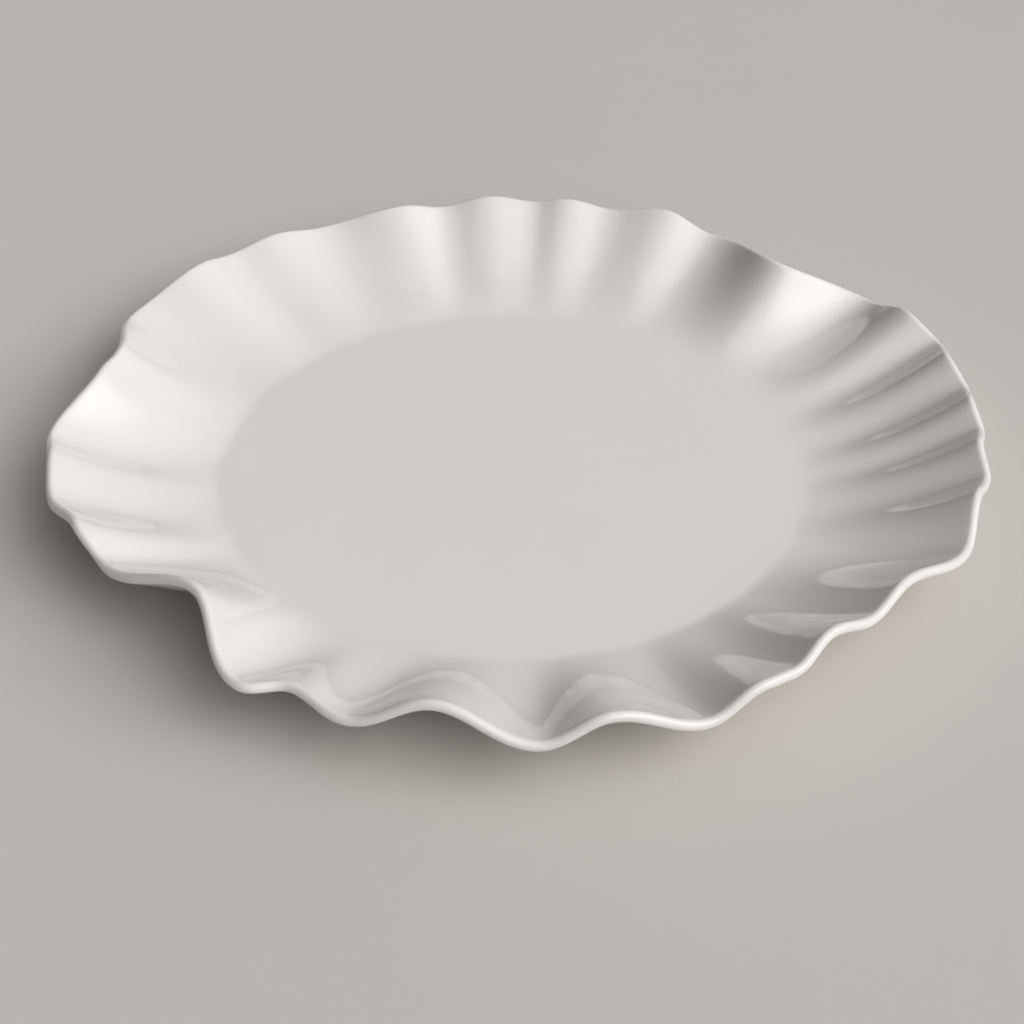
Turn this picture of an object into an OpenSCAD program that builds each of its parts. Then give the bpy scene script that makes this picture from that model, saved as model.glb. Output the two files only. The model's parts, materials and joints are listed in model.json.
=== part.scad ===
// Round serving plate in white glazed stoneware: a flat well, a wall that flares out and turns into
// irregular hand-worked ruffles, a rounded lip, and a foot ring set on the underside.
// The origin is the centre of the face that the plate stands on, +Z up, -Y towards the viewer.

/* [Plate] */
// Mean diameter over the lip
rim_d = 348; // [320:1:380]
// Diameter of the flat well, inside the crease where the wall starts
well_d = 221; // [200:1:250]
// Mean height of the lip's middle above the well floor
rim_rise = 20; // [14:1:32]
// Thickness of the well floor
floor_t = 5; // [4:0.5:8]
// Thickness of the wall at the lip, which is rounded over to a half circle
lip_t = 4; // [3:0.5:6]
// Share of the wall's rise that steepens outward, the rest is straight
wall_bow = 0.65; // [0.2:0.05:0.9]
// Width of the band over which the floor turns up into the wall
crease_w = 5; // [2:0.5:12]

/* [Ruffles] */
// Length of one step, the unit in which the lobes and folds of the lip are drawn
ruffle_step = 1; // [0.2:0.1:1.4]
// How fast the ruffles die away from the lip towards the well
ruffle_fade = 1.3; // [1:0.1:2.2]

/* [Foot ring] */
// Distance from the crease in to the foot ring's outer side
foot_inset = 11; // [6:1:40]
// Width of the foot ring
foot_w = 6; // [4:0.5:12]
// Height of the foot ring below the floor
foot_h = 5; // [4.5:0.5:12]
// Radius of the ring's sponged lower edges
foot_edge_r = 1.2; // [0.5:0.1:1.8]
// Radius of the slip cove that joins the ring to the floor
foot_cove_r = 2; // [0.5:0.5:2.5]

/* [Hidden] */

// Every turn of the lip, where a lobe or a fold is at its fullest, going round from the right-hand side
// at +X: bearing in degrees, then how many steps the lip stands outward and upward there from its mean
// circle. A lobe mostly hangs low and outward, a fold stands high and inward.
lip_turns = [
    [3, 4, 4], [9, 6, 0], [14, 5, 2], [21, 10, -3], [26, 6, 0],
    [36, 10, -9], [46, -14, 5], [61, 4, -6], [68, 2, 1], [76, 2, -3],
    [82, 0, 1], [87, 2, -2], [93, 1, 1], [100, 3, -4], [106, -1, 1],
    [117, 6, -6], [125, 5, -2], [131, 7, -5], [138, 2, 1], [148, 7, -7],
    [164, -11, 4], [169, -10, 5], [180, 3, -4], [186, 1, 1], [194, 2, -2],
    [202, -3, 2], [208, -7, -4], [222, -20, 7], [226, -16, 11], [237, 0, -4],
    [243, -8, -4], [251, -2, -6], [261, -4, 5], [273, 2, -6], [281, 2, 4],
    [292, 2, -7], [299, 2, 2], [303, 1, 1], [310, -3, 6], [318, -2, 1],
    [324, -2, 5], [331, 4, 1], [337, 5, -3], [344, 4, 5], [349, 6, 2],
    [354, 4, 4], [359, 5, 2]
];

full_turn = 360;
// Widest bearing between two stations of the loft, and the fewest stations from one turn to the next
station_angle = 1.9;
least_stations = 4;
// Bands of the loft up each side of the wall and round the lip
wall_bands = 8;
lip_bands = 4;
// Share of the wall over which the loft feels for the surface's slope
slope_feel = 0.01;
$fn = 180;

well_r = well_d / 2;
lip_r = (rim_d - lip_t) / 2;
wall_run = lip_r - well_r;
crease_share = crease_w / wall_run;
floor_mid = foot_h + floor_t / 2;
lip_mid = foot_h + floor_t + rim_rise;
foot_r = well_r - foot_inset;

// Stations round the plate, each with its bearing and its shift at the lip, which eases from one turn
// to the next along half a cosine wave
turn_count = len(lip_turns);
function next_turn(i) = i + 1 < turn_count ? lip_turns[i + 1] : lip_turns[0] + [full_turn, 0, 0];
function ease(f) = (1 - cos(180 * f)) / 2;
stations = [
    for (i = [0 : turn_count - 1])
        let(
            from = lip_turns[i],
            step = next_turn(i) - from,
            count = max(least_stations, ceil(step[0] / station_angle))
        )
        for (j = [0 : count - 1])
            let(f = j / count)
            [from[0] + step[0] * f, from[1] + step[1] * ease(f), from[2] + step[2] * ease(f)]
];
station_count = len(stations);

// Rise of the wall at a share t of its run: a soft start over the crease, then straight plus bowed
function straight_rise(t) =
    t < crease_share ? t * t / (2 * crease_share) : t - crease_share / 2;
function wall_rise(t) =
    (1 - wall_bow) * straight_rise(t) / straight_rise(1) + wall_bow * t * t;

// Point halfway through the wall at station k and share t
function mid_point(k, t) =
    let(
        s = stations[(k + station_count) % station_count],
        grow = ruffle_step * pow(t, ruffle_fade),
        r = well_r + wall_run * t + s[1] * grow,
        z = floor_mid + (lip_mid - floor_mid) * wall_rise(t) + s[2] * grow
    )
    [r * cos(s[0]), r * sin(s[0]), z];

// Directions there: up along the wall, and square out of its upper side
function unit(v) = v / norm(v);
function along(k, t) = unit(mid_point(k, t) - mid_point(k, t - slope_feel));
function across(k, t) = mid_point(k + 1, t) - mid_point(k - 1, t);
function square_out(k, t) = t < slope_feel ? [0, 0, 1] : unit(cross(along(k, t), across(k, t)));

// Rings of points: side is 1 on the upper face and -1 on the lower, and a lip ring turns by an angle
function wall_t(t) = floor_t + (lip_t - floor_t) * t;
function face_ring(t, side) =
    [for (k = [0 : station_count - 1]) mid_point(k, t) + square_out(k, t) * side * wall_t(t) / 2];
function lip_ring(angle) =
    [
        for (k = [0 : station_count - 1])
            mid_point(k, 1) + (square_out(k, 1) * cos(angle) + along(k, 1) * sin(angle)) * lip_t / 2
    ];
wall_shares = concat(
    [0, crease_share / 2],
    [for (i = [0 : wall_bands]) crease_share + (1 - crease_share) * i / wall_bands]
);
last_share = len(wall_shares) - 1;
loft_rings = concat(
    [for (t = wall_shares) face_ring(t, 1)],
    [for (i = [1 : lip_bands - 1]) lip_ring(180 * i / lip_bands)],
    [for (i = [0 : last_share]) face_ring(wall_shares[last_share - i], -1)]
);

// Well floor, ruffled wall and lip: one closed loft, with a fan of faces over the flat on each side
module plate_body() {
    ring_count = len(loft_rings);
    under_centre = ring_count * station_count;
    floor_centre = under_centre + 1;
    function at(ring, k) = ring * station_count + k % station_count;
    points = concat(
        [for (ring = loft_rings) each ring],
        [[0, 0, foot_h], [0, 0, foot_h + floor_t]]
    );
    bands = [
        for (ring = [0 : ring_count - 2], k = [0 : station_count - 1])
            each [
                [at(ring, k), at(ring, k + 1), at(ring + 1, k + 1)],
                [at(ring, k), at(ring + 1, k + 1), at(ring + 1, k)]
            ]
    ];
    floor_fan = [for (k = [0 : station_count - 1]) [floor_centre, at(0, k + 1), at(0, k)]];
    under_fan = [
        for (k = [0 : station_count - 1])
            [under_centre, at(ring_count - 1, k), at(ring_count - 1, k + 1)]
    ];
    color([0.92, 0.91, 0.89])
        polyhedron(points, concat(floor_fan, bands, under_fan), convexity = 6);
}

// Foot ring: a low band with sponged lower edges, luted to the floor through a cove on either side
module foot_ring() {
    color([0.84, 0.79, 0.71])
        rotate_extrude()
            translate([foot_r - foot_w, 0])
                foot_section();
}

module foot_section() {
    translate([0, foot_edge_r])
        square([foot_w, foot_h - foot_edge_r]);
    translate([foot_edge_r, 0])
        square([foot_w - 2 * foot_edge_r, foot_h]);
    for (x = [foot_edge_r, foot_w - foot_edge_r])
        translate([x, foot_edge_r])
            circle(foot_edge_r);
    for (side = [0, 1])
        translate([side * foot_w, 0])
            mirror([1 - side, 0])
                foot_cove();
}

module foot_cove() {
    difference() {
        translate([0, foot_h - foot_cove_r])
            square(foot_cove_r);
        translate([foot_cove_r, foot_h - foot_cove_r])
            circle(foot_cove_r);
    }
}

plate_body();
foot_ring();
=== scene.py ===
import json
import math
import bpy
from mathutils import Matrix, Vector

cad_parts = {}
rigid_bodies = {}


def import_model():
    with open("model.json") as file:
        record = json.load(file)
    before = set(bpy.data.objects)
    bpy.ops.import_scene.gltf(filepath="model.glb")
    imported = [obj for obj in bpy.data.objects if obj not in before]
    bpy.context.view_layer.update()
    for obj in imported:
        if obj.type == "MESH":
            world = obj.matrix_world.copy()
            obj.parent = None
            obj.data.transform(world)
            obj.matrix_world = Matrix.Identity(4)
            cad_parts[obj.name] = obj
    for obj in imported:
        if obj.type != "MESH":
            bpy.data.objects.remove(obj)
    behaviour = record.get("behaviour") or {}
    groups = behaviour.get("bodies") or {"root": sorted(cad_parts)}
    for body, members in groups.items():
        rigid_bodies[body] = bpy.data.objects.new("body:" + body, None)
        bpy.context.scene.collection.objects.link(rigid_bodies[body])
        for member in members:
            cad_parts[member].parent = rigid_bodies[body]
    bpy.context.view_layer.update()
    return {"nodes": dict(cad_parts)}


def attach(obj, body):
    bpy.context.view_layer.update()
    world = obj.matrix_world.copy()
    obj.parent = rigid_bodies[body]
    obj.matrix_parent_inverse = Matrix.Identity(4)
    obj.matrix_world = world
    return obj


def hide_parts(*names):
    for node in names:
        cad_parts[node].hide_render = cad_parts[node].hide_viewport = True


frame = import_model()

mm = 0.001
fullTurn = 360  # degrees
print("frame:", ", ".join(sorted(frame["nodes"])))


# small helpers for node trees

def put(tree, kind, **settings):
    node = tree.nodes.new(kind)
    for name, value in settings.items():
        setattr(node, name, value)
    return node


def feed(tree, socket, value):  # a socket is linked, anything else is typed in
    if isinstance(value, bpy.types.NodeSocket):
        tree.links.new(value, socket)
    else:
        socket.default_value = value


def calc(tree, operation, *values):
    node = put(tree, "ShaderNodeMath", operation=operation)
    for socket, value in zip(node.inputs, values):
        feed(tree, socket, value)
    return node.outputs[0]


def vecCalc(tree, operation, *values):
    node = put(tree, "ShaderNodeVectorMath", operation=operation)
    for socket, value in zip(node.inputs, values):
        feed(tree, socket, value)
    return node.outputs["Value"] if operation in ("LENGTH", "DOT_PRODUCT") else node.outputs[0]


def scaled(tree, vector, factor):
    node = put(tree, "ShaderNodeVectorMath", operation="SCALE")
    feed(tree, node.inputs[0], vector)
    feed(tree, node.inputs["Scale"], factor)
    return node.outputs[0]


def split(tree, vector):
    node = put(tree, "ShaderNodeSeparateXYZ")
    feed(tree, node.inputs[0], vector)
    return node.outputs


def joined(tree, x, y, z):
    node = put(tree, "ShaderNodeCombineXYZ")
    for socket, value in zip(node.inputs, (x, y, z)):
        feed(tree, socket, value)
    return node.outputs[0]


def ramp(tree, value, low, high, toLow=0.0, toHigh=1.0):  # soft step from one level to another
    node = put(tree, "ShaderNodeMapRange", interpolation_type="SMOOTHSTEP")
    for socket, item in zip(node.inputs, (value, low, high, toLow, toHigh)):
        feed(tree, socket, item)
    return node.outputs[0]


def noise(tree, where, size, seed, detail=2.0, rough=0.5):
    node = put(tree, "ShaderNodeTexNoise", noise_dimensions="4D")
    feed(tree, node.inputs["Vector"], where)
    feed(tree, node.inputs["W"], seed)
    feed(tree, node.inputs["Scale"], calc(tree, "DIVIDE", 1.0, size))
    feed(tree, node.inputs["Detail"], detail)
    feed(tree, node.inputs["Roughness"], rough)
    return node.outputs[0]


def mixed(tree, kind, share, first, second):
    node = put(tree, "ShaderNodeMix", data_type=kind)
    tail = {"RGBA": "_Color", "FLOAT": "_Float"}[kind]
    for name, value in (("Factor_Float", share), ("A" + tail, first), ("B" + tail, second)):
        feed(tree, next(s for s in node.inputs if s.identifier == name), value)
    return next(s for s in node.outputs if s.identifier == "Result" + tail)


def blend(tree, share, first, second):  # two colours
    return mixed(tree, "RGBA", share, first, second)


def between(tree, share, first, second):  # two plain values
    return mixed(tree, "FLOAT", share, first, second)


def newGroup(name, kind, inputs, outputs):
    tree = bpy.data.node_groups.new(name, kind)
    for way, rows in (("INPUT", inputs), ("OUTPUT", outputs)):
        for label, socketKind in rows:
            tree.interface.new_socket(name=label, in_out=way, socket_type="NodeSocket" + socketKind)
    return tree, put(tree, "NodeGroupInput").outputs, put(tree, "NodeGroupOutput").inputs


def dressed(name, mesh, tree, values):
    # runs a geometry tree on a mesh and keeps the result as a plain mesh of its own
    base = bpy.data.objects.new(name + "Base", mesh)
    bpy.context.scene.collection.objects.link(base)
    nodes = base.modifiers.new("loft", "NODES")
    nodes.node_group = tree
    for socket in tree.interface.items_tree:
        if socket.in_out == "INPUT" and socket.name in values:
            nodes[socket.identifier] = values[socket.name]
    evaluated = base.evaluated_get(bpy.context.evaluated_depsgraph_get())
    plain = bpy.data.meshes.new_from_object(evaluated)
    plain.name = name
    base.modifiers.remove(nodes)
    bpy.data.objects.remove(base)
    piece = bpy.data.objects.new(name, plain)
    bpy.context.scene.collection.objects.link(piece)
    return piece


# finishes shared by the plate and its foot

glazeFilm = {
    "white": (0.857, 0.830, 0.814, 1),
    "pool": (0.836, 0.820, 0.810, 1),  # thick and cooler, where it ran together
    "thinPaintedHighlight": (0.868, 0.846, 0.826, 1),  # over the lip, where the glaze is stretched thin: a little whiter, as a painted highlight along the edge
    "speck": (0.30, 0.26, 0.22, 1),
    "driftSize": 60 * mm,
    "driftFrom": 0.35, "driftTo": 0.75, "driftTint": 0.5,
    "leastPool": 0.4,
    "speckGap": 24 * mm,
    "speckRadius": 0.45 * mm,
    "speckShare": 0.16,  # of the cells
    "speckTint": 0.7,
    "pinGap": 17 * mm,
    "pinRadius": 0.35 * mm,
    "pinShare": 0.12,
    "pinDepth": 0.06 * mm,
    "pinSeed": 5.0,      # this and the next two are added to the material's own seed
    "smearSeed": 2.0,
    "peelSeed": 3.0,
    "peelSize": 9 * mm,
    "peelHeight": 0.008 * mm,
    "gloss": 0.04,
    "glossDrift": 0.035,
    "dotRough": 0.2,     # added on specks and pinholes
    "thinRough": 0.05,   # added where the film is thin
    "ior": 1.52,
}

clayGrain = {
    "clay": (0.70, 0.62, 0.52, 1),
    "grit": (0.50, 0.41, 0.32, 1),
    "chalk": (0.80, 0.74, 0.66, 1),
    "cloudSize": 14 * mm,
    "cloudFrom": 0.4, "cloudTo": 0.7,
    "gritSize": 0.7 * mm,
    "gritFrom": 0.58, "gritTo": 0.72,
    "gritHeight": 0.05 * mm,
    "gritSeed": 1.0,     # added to the material's own seed
    "rough": 0.62,
    "roughDrift": 0.25,
}


def specks(tree, where, gap, radius, seed, few):
    # round dots in a few of the cells, each cell drawn by its own random number
    leastSize, core = 0.35, 0.45  # smallest dot against the radius, solid share of a dot
    cells = put(tree, "ShaderNodeTexVoronoi", voronoi_dimensions="4D", feature="F1")
    feed(tree, cells.inputs["Vector"], where)
    feed(tree, cells.inputs["W"], seed)
    feed(tree, cells.inputs["Scale"], 1 / gap)
    draw = split(tree, cells.outputs["Color"])
    chosen = calc(tree, "LESS_THAN", draw[0], few)
    reach = calc(tree, "MULTIPLY", calc(tree, "ADD", draw[1], leastSize), radius / gap)
    dot = ramp(tree, cells.outputs["Distance"], reach, calc(tree, "MULTIPLY", reach, core))
    return calc(tree, "MULTIPLY", dot, chosen)


def glazeGroup(spec):
    tree, given, result = newGroup(
        "glazeFilm", "ShaderNodeTree",
        [("Where", "Vector"), ("Pooled", "Float"), ("Thinned", "Float"), ("Seed", "Float")],
        [("Colour", "Color"), ("Roughness", "Float"), ("Height", "Float")])
    where, seed = given["Where"], given["Seed"]
    drift = noise(tree, where, spec["driftSize"], seed, detail=3.0)
    pooled = calc(tree, "MULTIPLY", given["Pooled"], calc(tree, "ADD", drift, spec["leastPool"]))
    colour = blend(tree, pooled, spec["white"], spec["pool"])
    cloud = ramp(tree, drift, spec["driftFrom"], spec["driftTo"], 0.0, spec["driftTint"])
    colour = blend(tree, cloud, colour, spec["pool"])
    # painted highlight: the band over the lip is blended a little whiter than the glaze
    colour = blend(tree, given["Thinned"], colour, spec["thinPaintedHighlight"])
    speck = specks(tree, where, spec["speckGap"], spec["speckRadius"], seed, spec["speckShare"])
    tint = calc(tree, "MULTIPLY", speck, spec["speckTint"])
    feed(tree, result["Colour"], blend(tree, tint, colour, spec["speck"]))
    pinSeed = calc(tree, "ADD", seed, spec["pinSeed"])
    pin = specks(tree, where, spec["pinGap"], spec["pinRadius"], pinSeed, spec["pinShare"])
    smear = noise(tree, where, spec["peelSize"] * 2, calc(tree, "ADD", seed, spec["smearSeed"]))
    rough = calc(tree, "MULTIPLY_ADD", smear, spec["glossDrift"], spec["gloss"])
    rough = calc(tree, "MULTIPLY_ADD", calc(tree, "MAXIMUM", speck, pin), spec["dotRough"], rough)
    rough = calc(tree, "MULTIPLY_ADD", given["Thinned"], spec["thinRough"], rough)
    feed(tree, result["Roughness"], rough)
    peel = noise(tree, where, spec["peelSize"], calc(tree, "ADD", seed, spec["peelSeed"]), detail=1.0)
    height = calc(tree, "MULTIPLY", peel, spec["peelHeight"])
    feed(tree, result["Height"], calc(tree, "MULTIPLY_ADD", pin, -spec["pinDepth"], height))
    return tree


def clayGroup(spec):
    tree, given, result = newGroup(
        "clayGrain", "ShaderNodeTree",
        [("Where", "Vector"), ("Seed", "Float")],
        [("Colour", "Color"), ("Roughness", "Float"), ("Height", "Float")])
    where, seed = given["Where"], given["Seed"]
    cloud = noise(tree, where, spec["cloudSize"], seed, detail=4.0)
    gritSeed = calc(tree, "ADD", seed, spec["gritSeed"])
    grain = noise(tree, where, spec["gritSize"], gritSeed, detail=3.0, rough=0.7)
    chalky = ramp(tree, cloud, spec["cloudFrom"], spec["cloudTo"])
    gritty = ramp(tree, grain, spec["gritFrom"], spec["gritTo"])
    colour = blend(tree, chalky, spec["clay"], spec["chalk"])
    feed(tree, result["Colour"], blend(tree, gritty, colour, spec["grit"]))
    feed(tree, result["Roughness"], calc(tree, "MULTIPLY_ADD", grain, spec["roughDrift"], spec["rough"]))
    feed(tree, result["Height"], calc(tree, "MULTIPLY", grain, spec["gritHeight"]))
    return tree


glazeTree, clayTree = glazeGroup(glazeFilm), clayGroup(clayGrain)


def newMaterial(name):
    mat = bpy.data.materials.new(name)
    mat.use_nodes = True
    tree = mat.node_tree
    shader = tree.nodes["Principled BSDF"]
    where = put(tree, "ShaderNodeTexCoord").outputs["Object"]
    return mat, tree, shader, where


def layer(tree, group, **values):  # one shared finish, with this material's own values
    node = put(tree, "ShaderNodeGroup", node_tree=group)
    for name, value in values.items():
        feed(tree, node.inputs[name], value)
    return node.outputs


def carried(tree, name):  # a value that the piece's own mesh carries
    node = put(tree, "ShaderNodeAttribute", attribute_name=name)
    return node.outputs["Fac"]


def relief(tree, shader, height):
    bump = put(tree, "ShaderNodeBump")
    bump.inputs["Strength"].default_value = 1.0
    bump.inputs["Distance"].default_value = 1.0  # heights are real metres
    feed(tree, bump.inputs["Height"], height)
    feed(tree, shader.inputs["Normal"], bump.outputs[0])


# sheets of points bent into rings, for both pieces

def ringGrid(tree, lastRing, stations):
    # flat grid, with the ring and the station of each of its points
    around = calc(tree, "ADD", stations, 1.0)
    grid = put(tree, "GeometryNodeMeshGrid")
    feed(tree, grid.inputs["Vertices X"], calc(tree, "ADD", lastRing, 1.0))
    feed(tree, grid.inputs["Vertices Y"], around)
    index = put(tree, "GeometryNodeInputIndex").outputs[0]
    inRow = calc(tree, "ADD", index, 0.5)  # half a point clear of rounding
    ring = calc(tree, "FLOOR", calc(tree, "DIVIDE", inRow, around))
    station = calc(tree, "SUBTRACT", index, calc(tree, "MULTIPLY", ring, around))
    return grid.outputs["Mesh"], ring, station


def smoothAndDress(tree, geometry, material):
    # smooth, real faces, finish
    smooth = put(tree, "GeometryNodeSetShadeSmooth")
    feed(tree, smooth.inputs[0], geometry)
    real = put(tree, "GeometryNodeRealizeInstances")
    feed(tree, real.inputs[0], smooth.outputs[0])
    dress = put(tree, "GeometryNodeSetMaterial")
    feed(tree, dress.inputs["Geometry"], real.outputs[0])
    feed(tree, dress.inputs["Material"], material)
    return dress.outputs[0]


def moved(tree, geometry, socket, value):
    node = put(tree, "GeometryNodeSetPosition")
    feed(tree, node.inputs["Geometry"], geometry)
    feed(tree, node.inputs[socket], value)
    return node.outputs[0]


def merged(tree, geometry):  # seams and poles closed
    node = put(tree, "GeometryNodeMergeByDistance")
    feed(tree, node.inputs["Geometry"], geometry)
    feed(tree, node.inputs["Distance"], 0.001 * mm)
    return node.outputs[0]


# plate body: floor, ruffled wall and lip in one loft

plateBody = {
    "rimWidth": 348 * mm,
    "wellWidth": 221 * mm,
    "rimRise": 20 * mm,
    "floorThickness": 5 * mm,
    "lipThickness": 4 * mm,
    "creaseRun": 5 * mm,
    "ruffleFade": 1.3,
    "footHeight": 5 * mm,
    "stationGap": 0.7,  # degrees
    "leastStations": 8,  # from one turn to the next
    "floorRings": 14,
    "wallRings": 44,
    "lipRings": 10,
    "rippleHeight": 0.25 * mm,
    "rippleSize": 38 * mm,
    "rippleSeed": 4.0,
    "turningHeight": 0.1 * mm,  # shallow rings left on the underside inside the foot
    "turningGap": 8 * mm,
    "upperTurn": 0.3,   # share of the lip's turn that still counts as the upper side
    # shares of the wall at which pooled glaze starts, is full, eases and ends
    "poolShares": (-0.06, 0.02, 0.04, 0.16),
    "thinWaverSize": 11 * mm,
    "thinWaverSeed": 6.0,
    "thinWaver": 0.3,
    # the band over the lip where the glaze thins, which also carries the painted highlight
    "thinFrom": 0.3, "thinTo": 0.75, "thinMost": 0.7,
    "clayShow": 0.04,
    "glazeSeed": 3.0,
    "claySeed": 8.0,
    # bearing in degrees, then mm outward and mm upward from the mean lip
    "lipTurns": [
        (3, 3, 5), (9, 6, -1), (14, 4, 3), (21, 10, -4), (26, 6, 1), (36, 9, -10),
        (46, -15, 4), (61, 4, -7), (68, 2, 1), (76, 2, -3), (82, 0, 1), (87, 2, -2),
        (93, 1, 1), (100, 3, -4), (106, -1, 1), (117, 6, -6), (125, 5, -2), (131, 7, -5),
        (138, 2, 1), (148, 7, -7), (164, -11, 4), (169, -10, 5), (180, 3, -4), (186, 1, 1),
        (194, 2, -2), (202, -3, 2), (208, -7, -5), (224, -19, 7), (238, 0, -4),
        (243, -8, -4), (251, -2, -6), (261, -4, 5), (273, 2, -6), (281, 2, 4), (292, 2, -7),
        (299, 2, 2), (303, 1, 1), (310, -3, 6), (317, -2, 1), (323, -2, 5), (336, 6, -3),
        (343, 4, 5), (349, 6, 1), (354, 3, 5), (359, 5, 1),
    ],
    # bearing, then the share of the wall's rise that steepens outward: flat where the clay settled
    "bowTurns": [
        (18, 1.0), (60, 0.84), (100, 0.7), (150, 0.65), (196, 0.65), (216, 0.3), (238, 0.6), (250, 0.65),
        (285, 0.53), (312, 0.5), (330, 0.68), (345, 0.88),
    ],
}


def glazeMaterial(spec):
    mat, tree, shader, where = newMaterial("whiteGlaze")
    share, turn = carried(tree, "wallShare"), carried(tree, "lipTurn")
    upper = ramp(tree, turn, spec["upperTurn"], 0.0)
    # glaze runs together along the crease and thins over the lip, where the thin band is also painted a
    # little whiter as a highlight
    poolStart, poolFull, poolEase, poolEnd = spec["poolShares"]
    rising, falling = ramp(tree, share, poolStart, poolFull), ramp(tree, share, poolEnd, poolEase)
    pooled = calc(tree, "MULTIPLY", calc(tree, "MULTIPLY", rising, falling), upper)
    waver = noise(tree, where, spec["thinWaverSize"], spec["thinWaverSeed"])
    offEdge = calc(tree, "ABSOLUTE", calc(tree, "SUBTRACT", turn, 0.5))
    edge = calc(tree, "MULTIPLY_ADD", waver, spec["thinWaver"], calc(tree, "SUBTRACT", 0.5, offEdge))
    thinnedAndHighlit = ramp(tree, edge, spec["thinFrom"], spec["thinTo"], 0.0, spec["thinMost"])
    film = layer(tree, glazeTree, Where=where, Pooled=pooled, Thinned=thinnedAndHighlit, Seed=spec["glazeSeed"])
    under = layer(tree, clayTree, Where=where, Seed=spec["claySeed"])
    # a breath of the clay's grain shows where the film is thinnest
    show = calc(tree, "MULTIPLY", thinnedAndHighlit, spec["clayShow"])
    feed(tree, shader.inputs["Base Color"], blend(tree, show, film["Colour"], under["Colour"]))
    feed(tree, shader.inputs["Roughness"], film["Roughness"])
    relief(tree, shader, film["Height"])
    shader.inputs["IOR"].default_value = glazeFilm["ior"]
    return mat


def eased(share):  # half a cosine wave
    return (1 - math.cos(math.pi * share)) / 2


def easedAt(turns, bearing):
    # value at a bearing in degrees, eased from turn to turn
    start = turns[0][0]
    bearing = (bearing - start) % fullTurn + start
    for (here, low), (there, high) in zip(turns, turns[1:] + [(start + fullTurn, turns[0][1])]):
        if bearing <= there:
            return low + (high - low) * eased((bearing - here) / (there - here))


def lipLine(spec):
    # ring of points along the middle of the lip, eased from turn to turn, each with its wall's bow
    meanRadius = (spec["rimWidth"] - spec["lipThickness"]) / 2
    middle = spec["footHeight"] + spec["floorThickness"] + spec["rimRise"]
    turns = spec["lipTurns"]
    after = turns[1:] + [(turns[0][0] + fullTurn,) + turns[0][1:]]
    points, bows = [], []
    for here, there in zip(turns, after):
        count = max(spec["leastStations"], math.ceil((there[0] - here[0]) / spec["stationGap"]))
        for step in range(count):
            share = step / count
            ease = eased(share)
            degrees = here[0] + (there[0] - here[0]) * share
            bows.append(easedAt(spec["bowTurns"], degrees))
            bearing = math.radians(degrees)
            radius = meanRadius + (here[1] + (there[1] - here[1]) * ease) * mm
            height = middle + (here[2] + (there[2] - here[2]) * ease) * mm
            points.append((radius * math.cos(bearing), radius * math.sin(bearing), height))
    mesh = bpy.data.meshes.new("lipLine")
    mesh.from_pydata(points, [(i, (i + 1) % len(points)) for i in range(len(points))], [])
    mesh.attributes.new("wallBow", "FLOAT", "POINT").data.foreach_set("value", bows)
    return mesh


def wallPointGroup():
    # a point halfway through the clay, share -1 at the centre, 0 at the crease and 1 at the lip
    tree, given, result = newGroup(
        "wallPoint", "GeometryNodeTree",
        [("Share", "Float"), ("Lip Point", "Vector"), ("Well Radius", "Float"), ("Lip Radius", "Float"),
         ("Floor Middle", "Float"), ("Lip Middle", "Float"), ("Wall Bow", "Float"), ("Crease Run", "Float"),
         ("Ruffle Fade", "Float")],
        [("Point", "Vector")])
    lipX, lipY, lipZ = split(tree, given["Lip Point"])
    flatLip = joined(tree, lipX, lipY, 0.0)
    outward = vecCalc(tree, "NORMALIZE", flatLip)
    shiftOut = calc(tree, "SUBTRACT", vecCalc(tree, "LENGTH", flatLip), given["Lip Radius"])
    shiftUp = calc(tree, "SUBTRACT", lipZ, given["Lip Middle"])
    run = calc(tree, "SUBTRACT", given["Lip Radius"], given["Well Radius"])
    crease = calc(tree, "DIVIDE", given["Crease Run"], run)
    up = calc(tree, "MAXIMUM", given["Share"], 0.0)
    inward = calc(tree, "MINIMUM", given["Share"], 0.0)
    grow = calc(tree, "POWER", up, given["Ruffle Fade"])
    radius = calc(tree, "MULTIPLY_ADD", given["Well Radius"], inward, given["Well Radius"])
    radius = calc(tree, "MULTIPLY_ADD", run, up, radius)
    radius = calc(tree, "MULTIPLY_ADD", shiftOut, grow, radius)
    # soft start over the crease, then straight plus bowed
    start = calc(tree, "MINIMUM", up, crease)
    start = calc(tree, "DIVIDE", calc(tree, "MULTIPLY", start, start), calc(tree, "MULTIPLY", crease, 2.0))
    straight = calc(tree, "ADD", start, calc(tree, "MAXIMUM", calc(tree, "SUBTRACT", up, crease), 0.0))
    straight = calc(tree, "DIVIDE", straight, calc(tree, "MULTIPLY_ADD", crease, -0.5, 1.0))
    bowed = calc(tree, "MULTIPLY", up, up)
    rise = calc(tree, "MULTIPLY_ADD", calc(tree, "SUBTRACT", bowed, straight), given["Wall Bow"], straight)
    height = calc(tree, "SUBTRACT", given["Lip Middle"], given["Floor Middle"])
    height = calc(tree, "MULTIPLY_ADD", height, rise, given["Floor Middle"])
    height = calc(tree, "MULTIPLY_ADD", shiftUp, grow, height)
    point = vecCalc(tree, "ADD", scaled(tree, outward, radius), joined(tree, 0.0, 0.0, height))
    feed(tree, result["Point"], point)
    return tree


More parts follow.
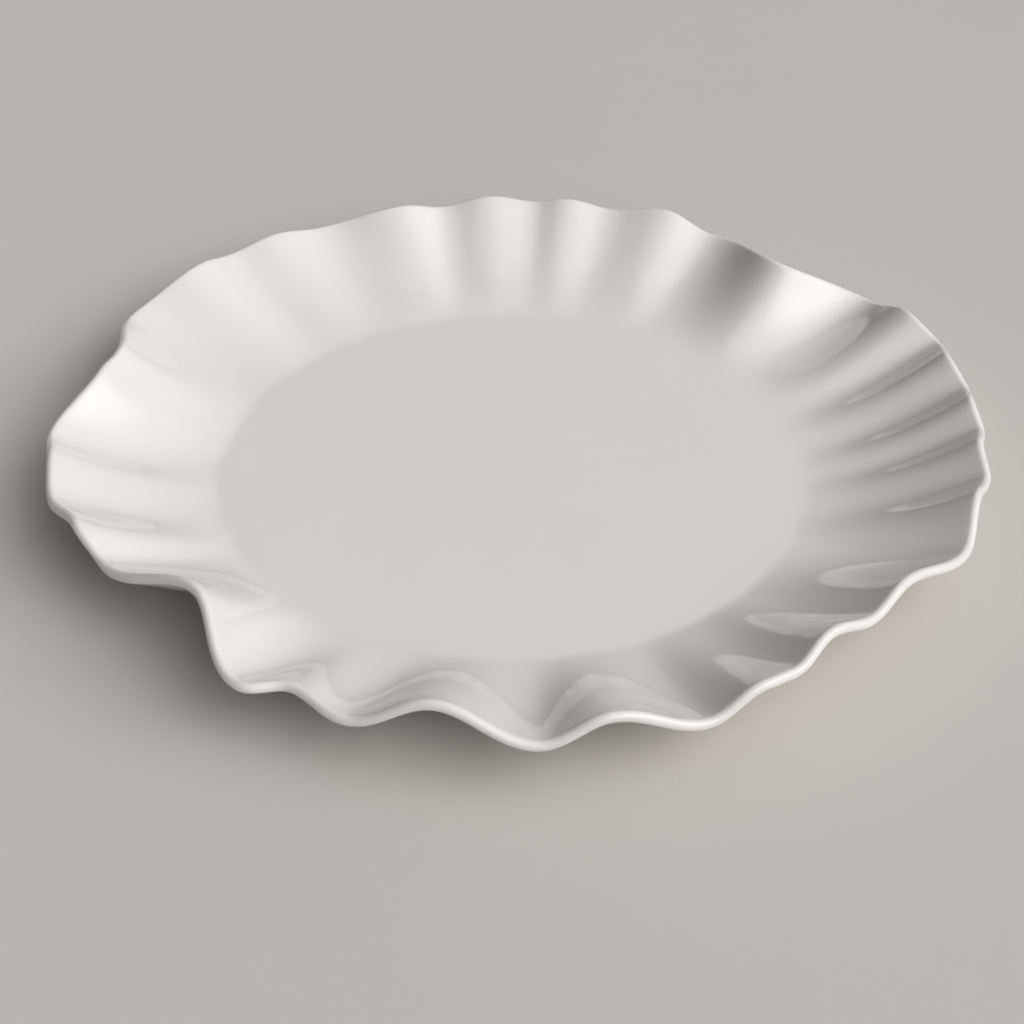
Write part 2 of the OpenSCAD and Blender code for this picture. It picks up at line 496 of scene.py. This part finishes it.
def ruffledLoftTree():
    crowding = 1.3      # rings lie closer along the crease
    slopeFeel = 0.01    # share of the wall over which its slope is felt
    nearPole = -0.95    # innermost share with a direction round the plate
    turningFrom, turningFull = -0.2, -0.25  # shares of the floor over which the turning rings come up
    shared = ["Well Radius", "Lip Radius", "Floor Middle", "Lip Middle", "Crease Run", "Ruffle Fade"]
    tree, given, result = newGroup(
        "ruffledLoft", "GeometryNodeTree",
        [("Lip Line", "Geometry")] + [(label, "Float") for label in shared] +
        [("Floor Thickness", "Float"), ("Lip Thickness", "Float"), ("Floor Rings", "Int"),
         ("Wall Rings", "Int"), ("Lip Rings", "Int"), ("Ripple Height", "Float"), ("Ripple Size", "Float"),
         ("Ripple Seed", "Float"), ("Turning Height", "Float"), ("Turning Gap", "Float"),
         ("Glaze", "Material")],
        [("Plate", "Geometry")])
    wallPoint = wallPointGroup()

    size = put(tree, "GeometryNodeAttributeDomainSize", component="MESH")
    feed(tree, size.inputs[0], given["Lip Line"])
    stations = size.outputs["Point Count"]
    sideRings = calc(tree, "ADD", given["Floor Rings"], given["Wall Rings"])
    lastRing = calc(tree, "MULTIPLY_ADD", sideRings, 2.0, given["Lip Rings"])
    grid, ring, station = ringGrid(tree, lastRing, stations)
    nearer = calc(tree, "MINIMUM", ring, calc(tree, "SUBTRACT", lastRing, ring))
    flatShare = calc(tree, "SUBTRACT", calc(tree, "DIVIDE", nearer, given["Floor Rings"]), 1.0)
    pastFloor = calc(tree, "SUBTRACT", nearer, given["Floor Rings"])
    wallShare = calc(tree, "DIVIDE", pastFloor, given["Wall Rings"])
    wallShare = calc(tree, "MINIMUM", calc(tree, "MAXIMUM", wallShare, 0.0), 1.0)
    wallShare = calc(tree, "POWER", wallShare, crowding)
    share = calc(tree, "ADD", calc(tree, "MINIMUM", flatShare, 0.0), wallShare)
    lipTurn = calc(tree, "DIVIDE", calc(tree, "SUBTRACT", ring, sideRings), given["Lip Rings"])
    lipTurn = calc(tree, "MINIMUM", calc(tree, "MAXIMUM", lipTurn, 0.0), 1.0)

    position = put(tree, "GeometryNodeInputPosition").outputs[0]

    def kept(name):  # a value that the mesh carries
        node = put(tree, "GeometryNodeInputNamedAttribute", data_type="FLOAT")
        node.inputs["Name"].default_value = name
        return node.outputs["Attribute"]

    def onWall(atShare, step):
        # point of the wall at this station or a step beside it
        wrapped = calc(tree, "ADD", station, calc(tree, "ADD", stations, float(step)))
        node = put(tree, "GeometryNodeGroup", node_tree=wallPoint)
        feed(tree, node.inputs["Share"], atShare)
        bow = kept("wallBow")
        for label, kind, field in (("Lip Point", "FLOAT_VECTOR", position), ("Wall Bow", "FLOAT", bow)):
            sample = put(tree, "GeometryNodeSampleIndex", data_type=kind)
            feed(tree, sample.inputs["Geometry"], given["Lip Line"])
            feed(tree, sample.inputs["Value"], field)
            feed(tree, sample.inputs["Index"], calc(tree, "MODULO", wrapped, stations))
            feed(tree, node.inputs[label], sample.outputs[0])
        for label in shared:
            feed(tree, node.inputs[label], given[label])
        return node.outputs[0]

    middle = onWall(share, 0)
    below = onWall(calc(tree, "SUBTRACT", share, slopeFeel), 0)
    offPole = calc(tree, "MAXIMUM", share, nearPole)
    across = vecCalc(tree, "SUBTRACT", onWall(offPole, 1), onWall(offPole, -1))
    along = vecCalc(tree, "NORMALIZE", vecCalc(tree, "SUBTRACT", middle, below))
    squareOut = vecCalc(tree, "NORMALIZE", vecCalc(tree, "CROSS_PRODUCT", along, across))

    thinning = calc(tree, "SUBTRACT", given["Lip Thickness"], given["Floor Thickness"])
    thickness = calc(tree, "MULTIPLY_ADD", thinning, wallShare, given["Floor Thickness"])
    half = calc(tree, "MULTIPLY", thickness, 0.5)
    angle = calc(tree, "MULTIPLY", lipTurn, math.pi)
    toFace = scaled(tree, squareOut, calc(tree, "MULTIPLY", half, calc(tree, "COSINE", angle)))
    toLip = scaled(tree, along, calc(tree, "MULTIPLY", half, calc(tree, "SINE", angle)))
    surface = vecCalc(tree, "ADD", middle, vecCalc(tree, "ADD", toFace, toLip))

    # the shares stay on the mesh for the glaze
    geometry = grid
    for name, field in (("wallShare", share), ("lipTurn", lipTurn)):
        store = put(tree, "GeometryNodeStoreNamedAttribute", data_type="FLOAT", domain="POINT")
        feed(tree, store.inputs["Geometry"], geometry)
        feed(tree, store.inputs["Name"], name)
        feed(tree, store.inputs["Value"], field)
        geometry = store.outputs[0]
    closed = merged(tree, moved(tree, geometry, "Position", surface))

    # hand-worked ripple over the upper side, turning rings on the flat below
    lift = noise(tree, position, given["Ripple Size"], given["Ripple Seed"])
    lift = calc(tree, "MULTIPLY", calc(tree, "SUBTRACT", lift, 0.5), given["Ripple Height"])
    lift = calc(tree, "MULTIPLY", lift, calc(tree, "SUBTRACT", 1.0, kept("lipTurn")))
    reach = vecCalc(tree, "LENGTH", vecCalc(tree, "MULTIPLY", position, (1.0, 1.0, 0.0)))
    phase = calc(tree, "DIVIDE", calc(tree, "MULTIPLY", reach, 2 * math.pi), given["Turning Gap"])
    wave = calc(tree, "MULTIPLY", calc(tree, "SINE", phase), given["Turning Height"])
    wave = calc(tree, "MULTIPLY", wave, kept("lipTurn"))
    wave = calc(tree, "MULTIPLY", wave, ramp(tree, kept("wallShare"), turningFrom, turningFull))
    lift = calc(tree, "ADD", lift, wave)
    normal = put(tree, "GeometryNodeInputNormal").outputs[0]
    rippled = moved(tree, closed, "Offset", scaled(tree, normal, lift))
    feed(tree, result["Plate"], smoothAndDress(tree, rippled, given["Glaze"]))
    return tree


def makePlate(spec):
    plate = dressed("plateBody", lipLine(spec), ruffledLoftTree(), {
        "Well Radius": spec["wellWidth"] / 2,
        "Lip Radius": (spec["rimWidth"] - spec["lipThickness"]) / 2,
        "Floor Middle": spec["footHeight"] + spec["floorThickness"] / 2,
        "Lip Middle": spec["footHeight"] + spec["floorThickness"] + spec["rimRise"],
        "Crease Run": spec["creaseRun"],
        "Ruffle Fade": spec["ruffleFade"],
        "Floor Thickness": spec["floorThickness"],
        "Lip Thickness": spec["lipThickness"],
        "Floor Rings": spec["floorRings"],
        "Wall Rings": spec["wallRings"],
        "Lip Rings": spec["lipRings"],
        "Ripple Height": spec["rippleHeight"],
        "Ripple Size": spec["rippleSize"],
        "Ripple Seed": spec["rippleSeed"],
        "Turning Height": spec["turningHeight"],
        "Turning Gap": spec["turningGap"],
        "Glaze": glazeMaterial(spec),
    })
    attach(plate, "root")
    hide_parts("plate_body")
    print("plate body:", len(plate.data.polygons), "faces")


makePlate(plateBody)


# foot ring: turned band luted under the floor

footRing = {
    "outerRadius": 99.5 * mm,
    "width": 6 * mm,
    "height": 5 * mm,
    "edgeRadius": 1.2 * mm,
    "coveRadius": 2 * mm,
    "sink": 0.3 * mm,  # how far its top reaches into the floor
    "stations": 360,
    "arcSteps": 6,
    "wobbleHeight": 0.3 * mm,
    "wobbleSize": 25 * mm,
    "wobbleSeed": 7.0,
    "glazeLine": 1.9 * mm,
    "glazeWaver": 1.6 * mm,
    "waverSize": 9 * mm,
    "waverSeed": 2.0,
    "lineSoft": 0.12 * mm,
    "filmThickness": 0.15 * mm,
    "poolReach": 1.2 * mm, "poolMost": 0.6,
    "flash": (0.56, 0.39, 0.26, 1),  # toasted clay under the line
    "flashReach": 0.9 * mm, "flashMost": 0.5,
    "glazeSeed": 5.0,
    "claySeed": 4.0,
}


def footMaterial(spec):
    mat, tree, shader, where = newMaterial("bareClayFoot")
    waver = calc(tree, "SUBTRACT", noise(tree, where, spec["waverSize"], spec["waverSeed"], detail=3.0), 0.5)
    line = calc(tree, "MULTIPLY_ADD", waver, spec["glazeWaver"], spec["glazeLine"])
    over = calc(tree, "SUBTRACT", split(tree, where)[2], line)  # height over the glaze line
    bare = ramp(tree, over, spec["lineSoft"], -spec["lineSoft"])
    flash = calc(tree, "MULTIPLY", ramp(tree, over, -spec["flashReach"], 0.0), bare)
    pooled = calc(tree, "MULTIPLY", ramp(tree, over, spec["poolReach"], 0.0), spec["poolMost"])
    film = layer(tree, glazeTree, Where=where, Pooled=pooled, Thinned=0.0, Seed=spec["glazeSeed"])
    clay = layer(tree, clayTree, Where=where, Seed=spec["claySeed"])
    toasted = blend(tree, calc(tree, "MULTIPLY", flash, spec["flashMost"]), clay["Colour"], spec["flash"])
    feed(tree, shader.inputs["Base Color"], blend(tree, bare, film["Colour"], toasted))
    feed(tree, shader.inputs["Roughness"], between(tree, bare, film["Roughness"], clay["Roughness"]))
    step = calc(tree, "MULTIPLY", calc(tree, "SUBTRACT", 1.0, bare), spec["filmThickness"])
    relief(tree, shader, calc(tree, "ADD", step, between(tree, bare, film["Height"], clay["Height"])))
    shader.inputs["IOR"].default_value = glazeFilm["ior"]
    return mat


def footSection(spec):
    # outline of the band in radius and height, from its inner cove round the foot to its outer cove
    outer, inner = spec["outerRadius"], spec["outerRadius"] - spec["width"]
    edge, cove, top = spec["edgeRadius"], spec["coveRadius"], spec["height"]
    points = [(inner - cove, top + spec["sink"])]

    def arc(x, z, radius, start, end):
        for step in range(spec["arcSteps"] + 1):
            angle = math.radians(start + (end - start) * step / spec["arcSteps"])
            points.append((x + radius * math.cos(angle), z + radius * math.sin(angle)))

    arc(inner - cove, top - cove, cove, 90, 0)
    arc(inner + edge, edge, edge, 180, 270)
    flat = spec["width"] - 2 * edge
    points.extend((inner + edge + flat * share, 0) for share in (0.25, 0.5, 0.75))
    arc(outer - edge, edge, edge, 270, 360)
    arc(outer + cove, top - cove, cove, 180, 90)
    points.append((outer + cove, top + spec["sink"]))
    points.append(points[0])
    mesh = bpy.data.meshes.new("footSection")
    mesh.from_pydata([(x, 0, z) for x, z in points], [(i, i + 1) for i in range(len(points) - 1)], [])
    return mesh


def turnedRingTree():
    flatTop, sideFull = 0.1 * mm, 1.0 * mm  # heights between which the sides start to waver
    tree, given, result = newGroup(
        "turnedRing", "GeometryNodeTree",
        [("Section", "Geometry"), ("Stations", "Int"), ("Wobble Height", "Float"), ("Wobble Size", "Float"),
         ("Wobble Seed", "Float"), ("Clay", "Material")],
        [("Foot", "Geometry")])
    size = put(tree, "GeometryNodeAttributeDomainSize", component="MESH")
    feed(tree, size.inputs[0], given["Section"])
    lastRing = calc(tree, "SUBTRACT", size.outputs["Point Count"], 1.0)
    grid, ring, station = ringGrid(tree, lastRing, given["Stations"])
    position = put(tree, "GeometryNodeInputPosition").outputs[0]
    sample = put(tree, "GeometryNodeSampleIndex", data_type="FLOAT_VECTOR")
    feed(tree, sample.inputs["Geometry"], given["Section"])
    feed(tree, sample.inputs["Value"], position)
    feed(tree, sample.inputs["Index"], ring)
    sampled = split(tree, sample.outputs[0])
    radius = sampled["X"]
    bearing = calc(tree, "DIVIDE", calc(tree, "MULTIPLY", station, 2 * math.pi), given["Stations"])
    alongX = calc(tree, "MULTIPLY", radius, calc(tree, "COSINE", bearing))
    alongY = calc(tree, "MULTIPLY", radius, calc(tree, "SINE", bearing))
    turned = joined(tree, alongX, alongY, sampled["Z"])
    closed = merged(tree, moved(tree, grid, "Position", turned))
    # sponged by hand, so its sides waver a little, while the face it stands on stays flat
    lift = noise(tree, position, given["Wobble Size"], given["Wobble Seed"])
    lift = calc(tree, "MULTIPLY", calc(tree, "SUBTRACT", lift, 0.5), given["Wobble Height"])
    side = ramp(tree, split(tree, position)[2], flatTop, sideFull)
    outward = vecCalc(tree, "NORMALIZE", vecCalc(tree, "MULTIPLY", position, (1.0, 1.0, 0.0)))
    wobbled = moved(tree, closed, "Offset", scaled(tree, outward, calc(tree, "MULTIPLY", lift, side)))
    feed(tree, result["Foot"], smoothAndDress(tree, wobbled, given["Clay"]))
    return tree


def makeFoot(spec):
    foot = dressed("footRing", footSection(spec), turnedRingTree(), {
        "Stations": spec["stations"],
        "Wobble Height": spec["wobbleHeight"],
        "Wobble Size": spec["wobbleSize"],
        "Wobble Seed": spec["wobbleSeed"],
        "Clay": footMaterial(spec),
    })
    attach(foot, "root")
    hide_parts("foot_ring")
    print("foot ring:", len(foot.data.polygons), "faces")


makeFoot(footRing)


# camera, light and floor

cameraSpec = {
    "eye": (0, -0.8283, 0.6019),
    "down": 36.4,    # degrees
    "lens": 93.16,   # this and the sensor are in millimetres
    "sensor": 36,
    "nearest": 0.01,
}


def makeCamera(spec):
    data = bpy.data.cameras.new("camera")
    data.lens = spec["lens"]
    data.sensor_width = spec["sensor"]
    data.clip_start = spec["nearest"]
    camera = bpy.data.objects.new("camera", data)
    camera.location = spec["eye"]
    camera.rotation_euler = (math.radians(90 - spec["down"]), 0, 0)
    bpy.context.scene.collection.objects.link(camera)
    bpy.context.scene.camera = camera
    print("camera: at", spec["eye"])


makeCamera(cameraSpec)

studioLight = {
    # soft patches of the room: bearing and rise, half-angles at which it is full and gone, brightness,
    # and the rises between which it comes up over its sill
    "patches": [
        (-38, 13, 2, 65, 4.55, 12, 30),  # wide light from the right and a little in front
        (49, 28, 19, 52, 0.48, 0, 8),    # its glow from the far right
    ],
    "dim": 0.015,  # the rest of the room
    "colour": (1, 0.985, 0.965, 1),
    "topHeight": 2.5,
    "topWidth": 2.4,
    "topPower": 6.9,
}


def towards(bearing, rise):
    bearing, rise = math.radians(bearing), math.radians(rise)
    return Vector((math.cos(rise) * math.cos(bearing), math.cos(rise) * math.sin(bearing), math.sin(rise)))


def makeLight(spec):
    data = bpy.data.lights.new("topLamp", "AREA")
    data.shape = "DISK"
    data.size = spec["topWidth"]
    data.energy = spec["topPower"]
    lamp = bpy.data.objects.new("topLamp", data)
    lamp.location = (0, 0, spec["topHeight"])
    bpy.context.scene.collection.objects.link(lamp)

    world = bpy.data.worlds.new("studio")
    bpy.context.scene.world = world
    world.use_nodes = True
    tree = world.node_tree
    back = tree.nodes["Background"]
    back.inputs["Color"].default_value = spec["colour"]
    direction = vecCalc(tree, "NORMALIZE", put(tree, "ShaderNodeTexCoord").outputs["Generated"])
    height = split(tree, direction)[2]
    strength = spec["dim"]
    for bearing, rise, full, gone, bright, low, high in spec["patches"]:
        facing = vecCalc(tree, "DOT_PRODUCT", direction, tuple(towards(bearing, rise)))
        glow = ramp(tree, facing, math.cos(math.radians(gone)), math.cos(math.radians(full)), 0.0, bright)
        overSill = ramp(tree, height, math.sin(math.radians(low)), math.sin(math.radians(high)))
        strength = calc(tree, "MULTIPLY_ADD", glow, overSill, strength)
    feed(tree, back.inputs["Strength"], strength)
    print("light: a lamp overhead and", len(spec["patches"]), "soft patches of the room")


makeLight(studioLight)

floorSpec = {
    "half": 30.0,
    "pale": (0.66, 0.64, 0.61, 1),
    "dusty": (0.62, 0.60, 0.57, 1),
    "cloudSize": 0.35,
    "cloudSeed": 1.0,
    "rough": 0.8,
}


def makeFloor(spec):
    mesh = bpy.data.meshes.new("floor")
    half = spec["half"]
    corners = [(-half, -half, 0), (half, -half, 0), (half, half, 0), (-half, half, 0)]
    mesh.from_pydata(corners, [], [(0, 1, 2, 3)])
    floor = bpy.data.objects.new("floor", mesh)
    bpy.context.scene.collection.objects.link(floor)
    mat, tree, shader, where = newMaterial("paleFloor")
    cloud = noise(tree, where, spec["cloudSize"], spec["cloudSeed"], detail=3.0)
    feed(tree, shader.inputs["Base Color"], blend(tree, cloud, spec["pale"], spec["dusty"]))
    shader.inputs["Roughness"].default_value = spec["rough"]
    mesh.materials.append(mat)
    print("floor: laid")


makeFloor(floorSpec)

bpy.context.scene.view_settings.view_transform = "Standard"
